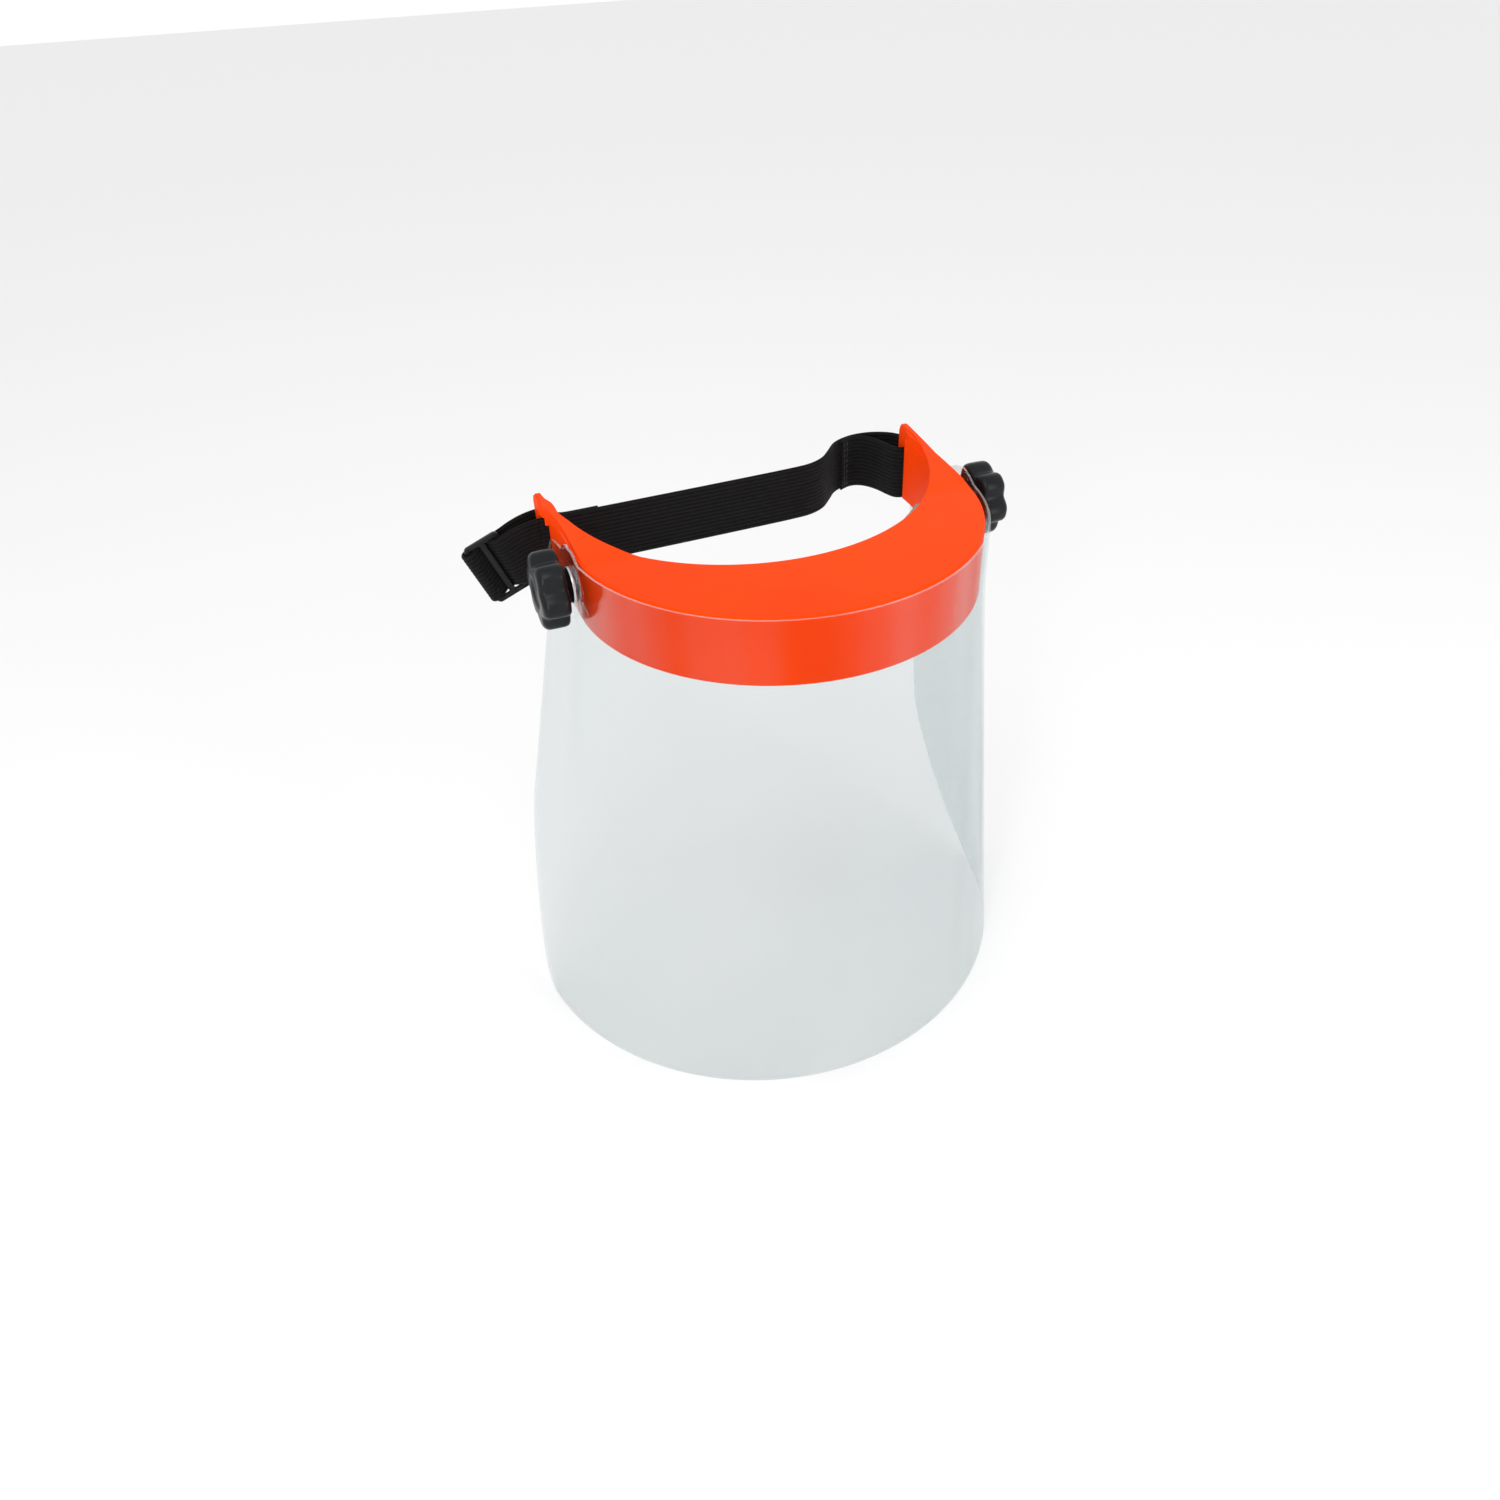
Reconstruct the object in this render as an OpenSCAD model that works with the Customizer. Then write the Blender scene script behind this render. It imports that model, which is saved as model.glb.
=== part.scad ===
// Face shield: brow guard with rearward arms, tilting clear visor on two star
// knobs, foam brow pad and elastic head strap with a tri-glide adjuster.
// Frame: origin midway between the two knob pivots on the plane of symmetry,
// +X to the shield's +X knob, -Y to the front of the visor, +Z up.

/* [Brow guard] */
// Radius of the guard's round front
guard_r = 85.8; // [84:0.1:86]
// How far the centre of the round front lies behind the pivot axis
arc_y = 1; // [0:0.1:1.5]
// Height of the guard's top face above the pivots
guard_top = 12.6; // [11:0.1:12.6]
// Depth of the skirt below the top face
skirt_h = 28.8; // [27:0.1:32]
// Thickness of the guard's walls
wall = 2.4; // [2:0.1:2.6]
// Thickness of the crescent-shaped top plate
plate_t = 2.4; // [1.8:0.1:3]
// Radius of the head opening
head_r = 83.5; // [83:0.1:84]
// How far the centre of the head opening lies behind the pivots
head_y = 43; // [42:0.5:44]
// Number of stiffening ribs under the top plate
rib_count = 7; // [3:2:9]

/* [Arms] */
// Where the arm's wall ends and the strap slot starts
slot_front = 45.6; // [45.5:0.1:45.8]
// Width of the slot that the strap passes through
slot_w = 4.4; // [4:0.1:4.6]
// Thickness of the hook's post along the arm
post_l = 6; // [5:0.1:6]
// How far the hooks stand out beyond the guard's sides
splay = 3.2; // [2.6:0.1:3.4]
// Height of the hook's tip above the top face
tip_rise = 4.5; // [2:0.1:6]

/* [Visor] */
// Thickness of the clear sheet
visor_t = 1; // [0.8:0.1:1]
// Free gap between the guard's skirt and the sheet
visor_gap = 1.2; // [1.2:0.1:1.3]
// Depth of the sheet's lower edge below the pivots
visor_drop = 240.5; // [200:0.5:260]
// Growth of the sheet's plan radius for each millimetre down
flare = 0.17; // [0.05:0.005:0.18]
// Radius of the ear around each pivot
ear_r = 16; // [15:0.5:17]
// Where the sheet's side edge lies behind the pivots
side_y = 42.5; // [38:0.5:43]
// Height of the large rounded lower corners
corner_h = 91; // [60:1:110]
// Width of the large rounded lower corners along the sheet
corner_w = 59; // [40:1:90]

/* [Knobs] */
// Overall diameter of a star knob
knob_d = 31.5; // [28:0.5:36]
// Thickness of the lobed grip
knob_t = 11.5; // [9:0.5:14]
// Number of lobes
lobes = 6; // [5:1:8]
// Diameter of the threaded stud
stud_d = 5; // [4:0.5:5]
// Radial running clearance between stud and holes
running = 0.07; // [0.03:0.01:0.1]

/* [Strap] */
// Width of the elastic webbing
strap_w = 25; // [22:0.5:25]
// Thickness of the elastic webbing
strap_t = 1.3; // [1:0.1:1.3]
// Angle at which the adjuster hangs below the strap's line
droop = 22; // [5:1:26]

/* [Brow pad] */
// Thickness of the foam
pad_t = 4.5; // [4:0.5:8]
// Height of the foam
pad_h = 22; // [16:0.5:24]
// Half of the angle that the foam covers round the head opening
pad_half_angle = 50; // [40:1:54]

/* [Hidden] */
$fn = 72;

orange = "#ff5218";
clear = [0.82, 0.90, 0.93, 0.45];
black = "#1c1d1f";
steel = "#b9bcc0";
foam = "#8f887c";
nylon = "#d9d9d4";

// Guard
skirt_z = guard_top - skirt_h;
edge_round = 1.1;
arm_end = slot_front + slot_w + post_l;
tip_z = guard_top + tip_rise;
post_t = 3;
hook_z = skirt_z - 1.8;
rise_y = -14;
rise_soft = 0.15;
spread_y = 20;
tip_round = 3;
arm_steps = 56;
arm_inset = 0.65;
slot_z = 8.8;
rib_t = 1.6;
rib_h = 11;
rib_spread = 48;
boss_r = 7.5;
boss_in = 75;
boss_out = guard_r + 0.2;
far = 400;

// Pivot hardware, as distances from the symmetry plane
nut_af = 8;
nut_t = 4;
nut_in = 76.5;
friction_t = 0.5;
friction_r = 7;
clamp_t = 1.2;
clamp_r = 7.5;
sheet_in = guard_r + visor_gap;
sheet_out = sheet_in + visor_t;
clamp_in = sheet_out + 0.05;
hub_in = clamp_in + clamp_t;
hub_l = 2.6;
hub_r = 7;
grip_in = hub_in + hub_l;
grip_out = grip_in + knob_t;
stud_in = nut_in - 1.5;
stud_end = grip_out - 4;
hole_r = stud_d / 2 + running;

// Visor sheet
flare_start = 7;
flare_soft = 14;
side_slope = 0.168;
corner_power = 1.38;
rear_round = 12;
rear_fall = 0.22;
side_cols = 34;
rows = 16;

// Strap
strap_z = -4.2;
strap_y = slot_front + 2;
hang_x = guard_r + 3.2;
bend_r = 26;
glide_d = 22;
glide_y = 48.6;
glide_l = 16.4;
glide_h = 30;
glide_t = 2.2;
glide_bar = 2.4;
glide_mid = 2.8;
thread_t = 0.5;
thread_off = strap_t / 2 + thread_t + 0.06;
tail_y = 49.02;
end_y = 68.4;

// ---- helper functions -------------------------------------------------

// Catmull-Rom curve through hand-chosen points, n steps to a span
function spline(p0, p1, p2, p3, t) =
  0.5 * (2 * p1 + (p2 - p0) * t + (2 * p0 - 5 * p1 + 4 * p2 - p3) * t * t
    + (3 * p1 - p0 - 3 * p2 + p3) * t * t * t);
function smooth(p, n) = [
  for (i = [0 : len(p) - 2], k = [0 : n - 1])
    spline(p[max(i - 1, 0)], p[i], p[i + 1], p[min(i + 2, len(p) - 1)], k / n),
  p[len(p) - 1]
];
function unit(v) = v / norm(v);
function tangent(p, i) = unit(p[min(i + 1, len(p) - 1)] - p[max(i - 1, 0)]);
function side(p, i) = let (t = tangent(p, i)) [-t[1], t[0]];

// Faces of a closed bar made of rings of k points
function bar_faces(rings, k) = concat(
  [[for (j = [0 : k - 1]) j]],
  [for (i = [0 : rings - 2], j = [0 : k - 1])
    [i * k + j, (i + 1) * k + j, (i + 1) * k + (j + 1) % k, i * k + (j + 1) % k]],
  [[for (j = [0 : k - 1]) rings * k - 1 - j]]
);

// ---- brow guard -------------------------------------------------------

// Half of the section of a round-edged slab, from the centre out to r
module slab_section(r, z_low, z_high, round) {
  translate([0, z_low]) square([r, z_high - round - z_low]);
  translate([0, z_low]) square([r - round, z_high - z_low]);
  translate([r - round, z_high - round]) circle(r = round, $fn = 24);
}

// Slab with a round front and straight sides, open or solid below
module d_slab(r, z_low, z_high, round, back) {
  translate([0, arc_y, 0]) rotate([0, 0, 180])
    rotate_extrude(angle = 180) slab_section(r, z_low, z_high, round);
  translate([0, back, 0]) rotate([90, 0, 0]) linear_extrude(back - arc_y) {
    slab_section(r, z_low, z_high, round);
    mirror([1, 0]) slab_section(r, z_low, z_high, round);
  }
}

// Space for the head: round in front, straight between the arms
module head_space(extra) {
  translate([0, head_y, -far / 2]) cylinder(r = head_r + extra, h = far, $fn = 180);
  translate([-head_r - extra, head_y, -far / 2]) cube([2 * (head_r + extra), far, far]);
}

// Height of the arm's top face at y: it rises from the plate and rounds over at the tip
function arm_top(y) = let (
  t = (y - rise_y) / (arm_end - rise_y), q = max(0, y - arm_end + tip_round)
) guard_top + tip_rise * (1 - pow(1 - t, 2)) * sqrt(min(1, t / rise_soft))
  - tip_round + sqrt(max(0, tip_round * tip_round - q * q));
function arm_spread(y) = splay * max(0, y - spread_y) / (arm_end - spread_y);
function arm_out(y) = sqrt(pow(guard_r, 2) - pow(min(0, y - arc_y), 2)) + arm_spread(y) - arm_inset;
function arm_in(y) = sqrt(pow(head_r, 2) - pow(max(0, head_y - y), 2)) + arm_spread(y) - 0.3;

// Rising top of one arm: its plan between the head space and the outside, cut to the rising height
module arm_rise() {
  bottom = guard_top - plate_t + 0.05;
  places = [for (i = [0 : arm_steps]) rise_y + (arm_end - rise_y) * i / arm_steps];
  intersection() {
    translate([0, 0, bottom]) linear_extrude(far) polygon([
      for (y = places) [arm_out(y), y],
      for (i = [arm_steps : -1 : 0]) [arm_in(places[i]), places[i]]
    ]);
    rotate([90, 0, 90]) linear_extrude(far) polygon([
      [rise_y, bottom], for (y = places) [y, arm_top(y) - 0.04], [arm_end, bottom]
    ]);
  }
}

// Side outline of one arm's hook, in the Y-Z plane
module hook_outline() {
  bar_z = slot_z + 2.6;
  front = slot_front - 14;
  sunk = 0.6;
  polygon([
    [front, guard_top - plate_t],
    for (y = [front : (arm_end - front) / 24 : arm_end]) [y, arm_top(y) - sunk],
    [arm_end, hook_z], [arm_end - post_l, hook_z], [arm_end - post_l, slot_z],
    [slot_front, slot_z], [slot_front, bar_z - 6]
  ]);
}

// Plan of the hook, which curves out from the arm's wall to clear the visor's edge
module hook_plan() {
  outer = guard_r + splay;
  rise = splay / 4;
  polygon([
    [guard_r, slot_front - 15], [guard_r, slot_front - 3],
    [guard_r + rise, slot_front - 1.1], [guard_r + 2.4 * rise, slot_front + 1],
    [guard_r + 3.4 * rise, slot_front + 4], [outer, arm_end + 1],
    [outer - post_t, arm_end + 1], [outer - post_t - 0.3, slot_front + 4],
    [guard_r - wall + 1.8 * rise, slot_front + 1], [guard_r - wall + 0.5 * rise, slot_front - 2],
    [guard_r - wall, slot_front - 5.5], [guard_r - wall, slot_front - 15]
  ]);
}

module arm_hook() {
  intersection() {
    translate([0, 0, hook_z - 1]) linear_extrude(far) hook_plan();
    translate([head_r - 1, 0, 0]) rotate([90, 0, 90]) linear_extrude(far) hook_outline();
  }
}

module nut_boss() {
  rotate([0, 90, 0]) translate([0, 0, boss_in]) cylinder(r = boss_r, h = boss_out - boss_in);
}

module nut_pocket() {
  seat = nut_in + nut_t;
  access_r = 6;
  rotate([0, 90, 0]) {
    translate([0, 0, seat - nut_t - 3]) cylinder(d = (nut_af + 0.1) / cos(30), h = nut_t + 3, $fn = 6);
    translate([0, 0, boss_in - 12]) cylinder(r = access_r, h = 12.5);
    translate([0, 0, seat - 1]) cylinder(r = hole_r, h = 20);
  }
}

module ribs() {
  step = 2 * rib_spread / (rib_count - 1);
  for (i = [0 : rib_count - 1])
    translate([0, arc_y, 0]) rotate([0, 0, -rib_spread + i * step])
      translate([-rib_t / 2, wall / 2 - guard_r, guard_top - plate_t - rib_h])
        cube([rib_t, guard_r - wall, rib_h + plate_t / 2]);
}

module brow_guard() {
  color(orange) difference() {
    union() {
      difference() {
        d_slab(guard_r, skirt_z, guard_top, edge_round, slot_front);
        difference() {
          d_slab(guard_r - wall, skirt_z - 1, guard_top - plate_t, 0.2, slot_front - wall);
          difference() {
            head_space(wall);
            translate([0, slot_front, 0]) cube([far, 0.01, far], center = true);
          }
          ribs();
        }
      }
      for (s = [0, 1]) mirror([s, 0, 0]) {
        nut_boss();
        arm_hook();
        arm_rise();
      }
    }
    head_space(0);
    for (s = [0, 1]) mirror([s, 0, 0]) nut_pocket();
  }
}

// ---- visor ------------------------------------------------------------

// Plan radius of the sheet's inner face at height z; it grows gently below the skirt
function sheet_r(z) = let (d = max(0, -z - flare_start))
  sheet_in + flare * (sqrt(d * d + flare_soft * flare_soft) - flare_soft);
function sheet_c(z) = arc_y - sheet_in + sheet_r(z);
function side_edge(z) = side_y + side_slope * max(0, -z);
function half_length(z) = sheet_r(z) * PI / 2 + side_edge(z) - sheet_c(z);

// Point on the sheet, s along it from the front line, at height z, off out of the inner face
function sheet_point(s, z, off) = let (
  r = sheet_r(z), arc = r * PI / 2, a = min(abs(s), arc) / r * 180 / PI,
  back = max(0, abs(s) - arc), dir = s < 0 ? -1 : 1
) [dir * (r + off) * sin(a), sheet_c(z) - (r + off) * cos(a) + back, z];

// Upper edge: level in front, an ear round the pivot, a rounded rear corner
function behind(u) = abs(u) * half_length(0) - sheet_in * PI / 2 + arc_y;
function ear_z(y) = sqrt(max(0, ear_r * ear_r - y * y));
function rear_z(y) = let (q = max(0, y - side_y + rear_round))
  ear_z(ear_r * 0.8) - rear_fall * (y - ear_r * 0.8)
  - rear_round + sqrt(max(0, rear_round * rear_round - q * q));
function top_z(u) = let (y = behind(u))
  y < 0 ? max(guard_top, ear_z(y))
  : y < ear_r * 0.8 ? ear_z(y)
  : rear_z(y);

// Lower edge: level in front, then a large rounded corner up to the side edge
function bottom_z(u) = let (
  full = half_length(-visor_drop + corner_h),
  q = max(0, (abs(u) * full - full + corner_w) / corner_w)
) -visor_drop + corner_h * (1 - pow(max(0, 1 - pow(q, corner_power)), 1 / corner_power));

// Columns crowd towards the side edges, where the corners turn
function column(i) = let (w = (i - side_cols) / side_cols) sign(w) * (1 - pow(1 - abs(w), 1.25));
function sheet_grid(off) = [
  for (i = [0 : 2 * side_cols], j = [0 : rows]) let (
    u = column(i), f = pow(j / rows, 1.35), z = top_z(u) + f * (bottom_z(u) - top_z(u))
  ) sheet_point(u * half_length(z), z, off)
];

module visor_sheet() {
  cols = 2 * side_cols;
  n = rows + 1;
  m = n * (cols + 1);
  rim = concat(
    [for (i = [0 : cols - 1]) i * n],
    [for (j = [0 : rows - 1]) cols * n + j],
    [for (i = [0 : cols - 1]) (cols - i) * n + rows],
    [for (j = [0 : rows - 1]) rows - j]
  );
  polyhedron(
    points = concat(sheet_grid(0), sheet_grid(visor_t)),
    faces = concat(
      [for (i = [0 : cols - 1], j = [0 : rows - 1]) let (a = i * n + j) each
        [[a, a + n, a + n + 1], [a, a + n + 1, a + 1]]],
      [for (i = [0 : cols - 1], j = [0 : rows - 1]) let (a = m + i * n + j) each
        [[a, a + n + 1, a + n], [a, a + 1, a + n + 1]]],
      [for (k = [0 : len(rim) - 1]) let (a = rim[k], b = rim[(k + 1) % len(rim)]) each
        [[b, a, a + m], [b, a + m, b + m]]]
    )
  );
}

module visor() {
  color(clear) difference() {
    visor_sheet();
    rotate([0, 90, 0]) cylinder(r = hole_r, h = far, center = true);
  }
}

// ---- brow pad ---------------------------------------------------------

module brow_pad() {
  round = 2;
  r_in = head_r - pad_t;
  z_mid = (guard_top + skirt_z) / 2;
  color(foam) translate([0, head_y, z_mid]) rotate([0, 0, 270 - pad_half_angle])
    rotate_extrude(angle = 2 * pad_half_angle) {
      translate([r_in, round - pad_h / 2]) square([pad_t, pad_h - 2 * round]);
      translate([r_in + round, -pad_h / 2]) square([pad_t - round, pad_h]);
      for (s = [-1, 1])
        translate([r_in + round, s * (pad_h / 2 - round)]) circle(r = round, $fn = 24);
    }
}

// ---- pivot hardware, made for the +X side -----------------------------

module ring(r, bore, x_in, x_out) {
  rotate([0, 90, 0]) translate([0, 0, x_in]) difference() {
    cylinder(r = r, h = x_out - x_in);
    translate([0, 0, -1]) cylinder(r = bore, h = x_out - x_in + 2);
  }
}

module grip_outline() {
  lobe_r = knob_d / 2 * 0.31;
  circle(r = knob_d / 2 - lobe_r * 0.85);
  for (i = [0 : lobes - 1]) rotate([0, 0, i * 360 / lobes + 30])
    translate([knob_d / 2 - lobe_r, 0]) circle(r = lobe_r, $fn = 36);
}

module knob() {
  bevel = 2.6;
  color(black) rotate([0, 90, 0]) difference() {
    union() {
      translate([0, 0, hub_in]) cylinder(r = hub_r, h = hub_l + 1);
      translate([0, 0, grip_in]) intersection() {
        linear_extrude(knob_t) grip_outline();
        union() {
          cylinder(r1 = knob_d / 2 - 1, r2 = knob_d / 2 + 0.01, h = 1.5);
          translate([0, 0, 1.5]) cylinder(d = knob_d + 1, h = knob_t - bevel - 1.5);
          translate([0, 0, knob_t - bevel])
            cylinder(r1 = knob_d / 2 + 0.01, r2 = knob_d / 2 - bevel, h = bevel);
        }
      }
    }
    translate([0, 0, hub_in - 1]) cylinder(d = stud_d, h = stud_end - hub_in + 1);
  }
}

module stud() {
  tip = 0.6;
  color(steel) rotate([0, 90, 0]) {
    translate([0, 0, stud_in + tip]) cylinder(d = stud_d, h = stud_end - stud_in - tip);
    translate([0, 0, stud_in]) cylinder(d1 = stud_d - 2 * tip, d2 = stud_d, h = tip);
  }
}

module clamp_washer() { color(steel) ring(clamp_r, hole_r, clamp_in, hub_in); }
module friction_washer() { color(nylon) ring(friction_r, hole_r, boss_out, boss_out + friction_t); }

module nut() {
  color(steel) rotate([0, 90, 0]) translate([0, 0, nut_in]) difference() {
    cylinder(d = nut_af / cos(30), h = nut_t, $fn = 6);
    translate([0, 0, -1]) cylinder(r = hole_r, h = nut_t + 2);
  }
}

// ---- strap ------------------------------------------------------------

// Place a strap point: d outward from the -X arm along the strap, y back, h across the
// webbing. Past the arm the strap bends down in its own plane and hangs at the droop angle.
function hang(d, y, h) = let (
  bend = bend_r * droop * PI / 180, a = max(0, min(d, bend)) / bend_r * 180 / PI,
  straight = max(0, d - bend), before = min(d, 0)
) [
  -hang_x - before - bend_r * sin(a) - straight * cos(a) - h * sin(a), y,
  strap_z - bend_r * (1 - cos(a)) - straight * sin(a) + h * cos(a)
];

// Webbing swept along a path in the d-y plane
module webbing(path, width, thick) {
  ring_at = [for (i = [0 : len(path) - 1]) let (p = path[i], n = side(path, i) * thick / 2) each [
    hang(p[0] + n[0], p[1] + n[1], -width / 2), hang(p[0] + n[0], p[1] + n[1], width / 2),
    hang(p[0] - n[0], p[1] - n[1], width / 2), hang(p[0] - n[0], p[1] - n[1], -width / 2)
  ]];
  polyhedron(points = ring_at, faces = bar_faces(len(path), 4));
}

// Distance along the strap of a point at x
function d_of(x) = -hang_x - x;

// From the -X arm's slot across behind the head, then a slack wave to the sewn end
main_route = [
  [0, strap_y], [d_of(-74), 47.5], [d_of(-40), 47.6], [d_of(0), 48],
  [d_of(28), 48.6], [d_of(38), 49.8], [d_of(45.5), 53.6], [d_of(51.5), 60],
  [d_of(57), 66.4], [d_of(63), 70]
];
// Round the +X hook: behind the post, outside it, back through the slot, and doubled
hook_route = [
  [d_of(63.01), 70], [d_of(70), 71.8], [d_of(78), 71], [d_of(85), 67.6],
  [d_of(89.4), 62.6], [d_of(91), 57], [d_of(90.6), 51.6], [d_of(88), 48.5],
  [d_of(84.4), 47.7], [d_of(81.2), 49.4], [d_of(79.4), 54], [d_of(77.6), 60.4],
  [d_of(74.8), 66], [d_of(71), 69.4], [d_of(66.5), 69.8], [d_of(61.5), 67.6]
];
// Out to the adjuster, threaded through it, folded and back behind the -X hook
adjuster_route = [
  [0.01, strap_y], [5, 46.9], [10, 46.5], [14.4, 46.4], [16.4, 46.75], [18.2, 48.6],
  [20.2, 50.5], [22, 50.85], [23.8, 50.5], [25.8, 48.6], [27.6, 46.75], [29.2, 46.3],
  [30.8, 46.8], [31.7, 48.6], [31.3, 50.8], [29.4, 52.3], [26, 52.9], [20, 53.1],
  [12, 53.7], [5, 55.6], [0, 57.2], [-3.2, 57.5], [-5.8, 56.6], [-6.5, 54.2],
  [-7.2, 51.4], [-9.2, 49.6], [-12, 49.02], [-18, 48.95], [-26, 49.02]
];

module strap_main() { color(black) webbing(smooth(main_route, 4), strap_w, strap_t); }
module strap_hook_loop() { color(black) webbing(smooth(hook_route, 3), strap_w, strap_t); }
module strap_adjuster_loop() { color(black) webbing(smooth(adjuster_route, 3), strap_w, strap_t); }

module rounded_plate(l, h, t, r) {
  for (x = [r - l / 2, l / 2 - r], z = [r - h / 2, h / 2 - r])
    translate([x, 0, z]) rotate([90, 0, 0]) cylinder(r = r, h = t, center = true, $fn = 32);
  cube([l - 2 * r, t, h], center = true);
  cube([l, t, h - 2 * r], center = true);
}

module tri_glide() {
  slot = (glide_l - 2 * glide_bar - glide_mid) / 2;
  slot_h = strap_w + 1;
  color(black) translate(hang(glide_d, glide_y, 0)) rotate([0, -droop, 0]) difference() {
    rounded_plate(glide_l, glide_h, glide_t, 2);
    for (s = [-1, 1]) translate([s * (glide_mid + slot) / 2, 0, 0])
      cube([slot, glide_t + 2, slot_h], center = true);
  }
}

// Rows of sewing thread standing on the webbing's face at distance d, offset y
module stitch_rows(d_list, y_face, count) {
  pitch = (strap_w - 4) / count;
  color(black) for (d = d_list, i = [0 : count - 1])
    let (p = hang(d, y_face, (i + 0.5 - count / 2) * pitch))
      translate(p) cube([thread_t, 2 * thread_t, pitch * 0.7], center = true);
}

module left_stitching() { stitch_rows([-16, -24], tail_y + thread_off, 7); }
module right_stitching() { stitch_rows([d_of(63.5)], end_y - thread_off, 7); }

module mirrored() { mirror([1, 0, 0]) children(); }

brow_guard();
visor();
brow_pad();
mirrored() knob();  // left_knob
knob();  // right_knob
mirrored() stud();  // left_knob_stud
stud();  // right_knob_stud
mirrored() clamp_washer();  // left_clamp_washer
clamp_washer();  // right_clamp_washer
mirrored() friction_washer();  // left_friction_washer
friction_washer();  // right_friction_washer
mirrored() nut();  // left_nut
nut();  // right_nut
strap_main();
strap_adjuster_loop();
strap_hook_loop();
tri_glide();
left_stitching();
right_stitching();
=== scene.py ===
import math
from mathutils import Matrix, Vector
import bmesh
import bpy
import numpy as np


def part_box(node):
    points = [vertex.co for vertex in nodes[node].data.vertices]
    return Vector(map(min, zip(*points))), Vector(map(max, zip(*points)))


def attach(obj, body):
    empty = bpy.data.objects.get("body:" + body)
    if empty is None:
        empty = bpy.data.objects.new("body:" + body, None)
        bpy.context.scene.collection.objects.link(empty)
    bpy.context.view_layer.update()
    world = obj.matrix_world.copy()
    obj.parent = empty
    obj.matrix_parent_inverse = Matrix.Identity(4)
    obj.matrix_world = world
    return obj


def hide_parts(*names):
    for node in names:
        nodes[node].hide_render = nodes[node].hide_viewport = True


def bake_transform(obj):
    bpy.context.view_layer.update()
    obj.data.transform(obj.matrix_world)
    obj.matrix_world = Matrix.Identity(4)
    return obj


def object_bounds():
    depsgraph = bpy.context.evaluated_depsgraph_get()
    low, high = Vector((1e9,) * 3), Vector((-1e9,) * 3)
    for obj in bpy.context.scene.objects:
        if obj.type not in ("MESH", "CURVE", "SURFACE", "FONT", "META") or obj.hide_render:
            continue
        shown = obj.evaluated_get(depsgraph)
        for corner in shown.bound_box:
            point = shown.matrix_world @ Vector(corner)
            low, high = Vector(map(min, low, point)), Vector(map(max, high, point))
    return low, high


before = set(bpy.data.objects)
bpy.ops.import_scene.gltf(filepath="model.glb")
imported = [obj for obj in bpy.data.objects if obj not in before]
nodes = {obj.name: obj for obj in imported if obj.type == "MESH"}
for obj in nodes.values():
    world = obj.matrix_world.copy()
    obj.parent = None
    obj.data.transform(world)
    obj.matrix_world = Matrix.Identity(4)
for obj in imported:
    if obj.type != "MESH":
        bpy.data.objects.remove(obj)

cad_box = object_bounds()
scene = bpy.context.scene

MM = 0.001


# ---- camera, floor and light -------------------------------------------

# Camera place and view direction in the part's frame, in millimetres
CAM_AT = Vector((-165.8, -413.1, 224.3)) * MM
CAM_BACK = Vector((-0.27338, -0.75250, 0.59918))
CAM_UP = Vector((0.24572, 0.54761, 0.79984))
LENS = 28.08


def make_camera():
    data = bpy.data.cameras.new("camera")
    data.lens = LENS
    data.sensor_width = 36
    data.clip_start = 0.01
    cam = bpy.data.objects.new("camera", data)
    scene.collection.objects.link(cam)
    back = CAM_BACK.normalized()
    up = (CAM_UP - back * CAM_UP.dot(back)).normalized()
    right = up.cross(back)
    turn = Matrix((right, up, back)).transposed()
    cam.matrix_world = Matrix.Translation(CAM_AT) @ turn.to_4x4()
    scene.camera = cam


def make_floor():
    half = 6.0
    bm = bmesh.new()
    bmesh.ops.create_grid(bm, x_segments=1, y_segments=1, size=half)
    mesh = bpy.data.meshes.new("floor")
    bm.to_mesh(mesh)
    bm.free()
    floor = bpy.data.objects.new("floor", mesh)
    floor.location.z = cad_box[0].z - 0.0005
    scene.collection.objects.link(floor)
    mat, shader = new_material("floor", (0.84, 0.84, 0.84), 0.9)
    shader.inputs["Specular IOR Level"].default_value = 0.1
    mesh.materials.append(mat)


def area_light(name, at, aim, width, height, watts):
    data = bpy.data.lights.new(name, "AREA")
    data.shape = "RECTANGLE"
    data.size = width
    data.size_y = height
    data.energy = watts
    light = bpy.data.objects.new(name, data)
    light.location = Vector(at)
    light.rotation_mode = "QUATERNION"
    light.rotation_quaternion = (Vector(aim) - Vector(at)).to_track_quat("-Z", "Y")
    scene.collection.objects.link(light)


def make_lights():
    world = bpy.data.worlds.new("studio")
    scene.world = world
    world.use_nodes = True
    world.node_tree.nodes["Background"].inputs["Color"].default_value = (1, 1, 1, 1)
    world.node_tree.nodes["Background"].inputs["Strength"].default_value = 1.0
    area_light("key", (-0.45, -0.75, 1.15), (0, 0, -0.05), 0.7, 0.7, 5)
    area_light("window", (-0.75, -1.0, 0.10), (0, 0, -0.08), 0.16, 1.2, 5)
    area_light("fill", (0.55, -1.1, 0.15), (0, 0, -0.08), 0.22, 1.2, 4)


# ---- material helpers -----------------------------------------------------


def new_material(name, colour, roughness):
    mat = bpy.data.materials.new(name)
    mat.use_nodes = True
    shader = mat.node_tree.nodes["Principled BSDF"]
    shader.inputs["Base Color"].default_value = (*colour, 1)
    shader.inputs["Roughness"].default_value = roughness
    return mat, shader


def add(mat, kind, **settings):
    node = mat.node_tree.nodes.new(kind)
    for key, value in settings.items():
        if key in node.inputs:
            node.inputs[key].default_value = value
        else:
            setattr(node, key, value)
    return node


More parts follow.
